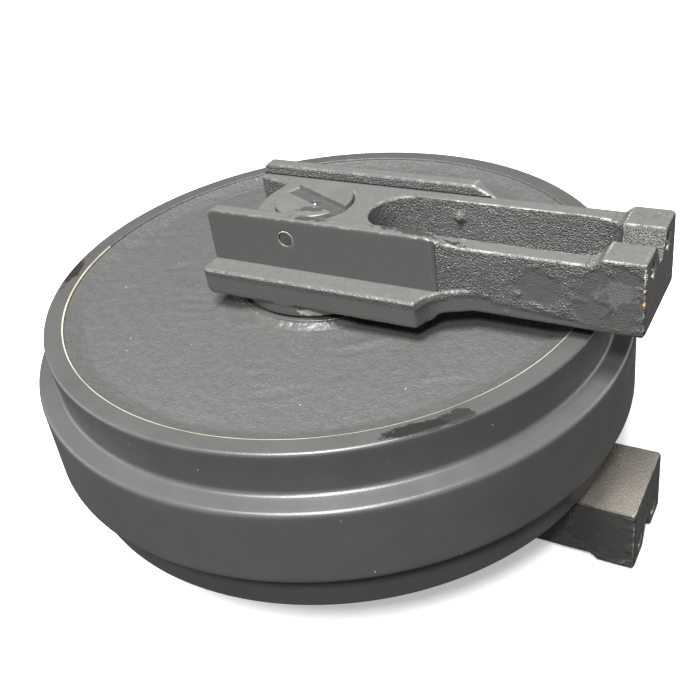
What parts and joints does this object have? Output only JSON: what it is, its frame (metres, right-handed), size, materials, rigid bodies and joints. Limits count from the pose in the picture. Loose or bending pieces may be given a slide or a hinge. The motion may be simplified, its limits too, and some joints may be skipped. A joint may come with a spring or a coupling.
{
  "type": "excavator front idler",
  "caption": "Excavator front idler: hollow cast wheel with treads beside a centre flange, turning on a fixed shaft pinned in cast guide brackets.",
  "frame": {"origin": "on the axle's axis, in the wheel's middle plane", "axes": "+Z along the axle, up as the part lies in the picture; +X from the axle towards the bolted end of the brackets"},
  "size_m": [0.584, 0.56, 0.32],
  "materials": {
    "wheel_paint": "dark grey semi-gloss paint on cast and turned steel",
    "hub_paint": "dark grey semi-gloss paint on turned steel and weld",
    "bracket_paint": "dark grey semi-gloss paint on rough cast steel",
    "shaft_paint": "dark grey semi-gloss paint on turned steel",
    "pin_paint": "painted over, flush in the guide face",
    "bush_bronze": "bored bronze",
    "seal_steel": "lapped",
    "seal_rubber": "moulded",
    "plug_steel": "bright zinc",
    "washer_copper": "soft copper"
  },
  "bodies": {
    "carrier": {"shaft": "shaft_paint", "upper_bracket": "bracket_paint", "lower_bracket": "bracket_paint", "upper_static_seal_ring": "seal_steel", "lower_static_seal_ring": "seal_steel", "upper_static_toric": "seal_rubber", "lower_static_toric": "seal_rubber", "upper_shaft_o_ring": "seal_rubber", "lower_shaft_o_ring": "seal_rubber", "upper_lock_pin": "pin_paint", "lower_lock_pin": "pin_paint", "oil_fill_plug": "plug_steel", "plug_seal_washer": "washer_copper"},
    "wheel": {"upper_half_shell": "wheel_paint", "lower_half_shell": "wheel_paint", "girth_weld": "wheel_paint", "hub_tube": "hub_paint", "upper_hub_weld": "hub_paint", "lower_hub_weld": "hub_paint", "upper_bushing": "bush_bronze", "lower_bushing": "bush_bronze", "upper_rotating_seal_ring": "seal_steel", "lower_rotating_seal_ring": "seal_steel", "upper_rotating_toric": "seal_rubber", "lower_rotating_toric": "seal_rubber"}
  },
  "joints": [
    {"name": "wheel_spin", "type": "hinge", "parent": "carrier", "child": "wheel", "pos_m": [0, 0, 0], "axis": [0, 0, 1], "continuous": true}
  ]
}
